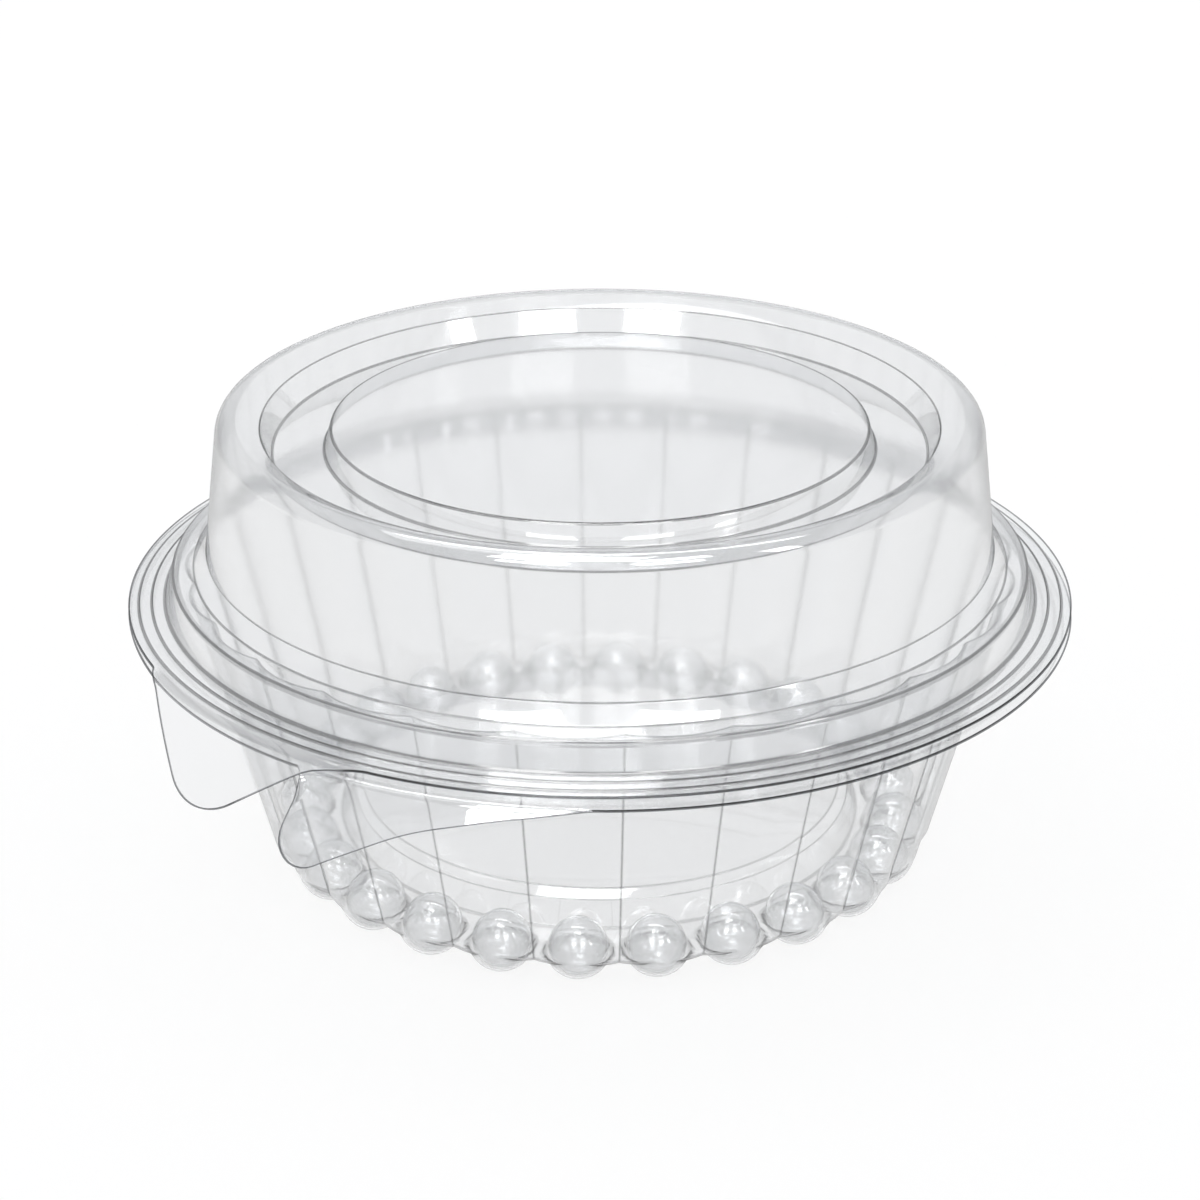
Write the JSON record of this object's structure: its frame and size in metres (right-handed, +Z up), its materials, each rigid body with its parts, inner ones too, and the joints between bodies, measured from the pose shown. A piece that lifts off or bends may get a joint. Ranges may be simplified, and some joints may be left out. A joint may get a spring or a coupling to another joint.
{
  "type": "plastic clamshell pack",
  "caption": "Round clear clamshell pack: fluted tapering bowl on ball feet, domed lid with a stacking rim, drooping lift tabs and a living hinge between the flanges.",
  "frame": {"origin": "on the bowl's axis, on the plane under the feet", "axes": "+Z up, -Y towards the lift tabs, +Y towards the living hinge, +X to the right seen from the tabs; lid closed"},
  "size_m": [0.185, 0.2006, 0.0904],
  "materials": {
    "clear_plastic": "gloss"
  },
  "bodies": {
    "bowl": {"bowl": "clear_plastic"},
    "lid": {"lid": "clear_plastic"}
  },
  "joints": [
    {"name": "living_hinge", "type": "hinge", "parent": "bowl", "child": "lid", "pos_m": [0, 0.1, 0.0523], "axis": [-1, 0, 0], "range_deg": [0, 180]}
  ]
}
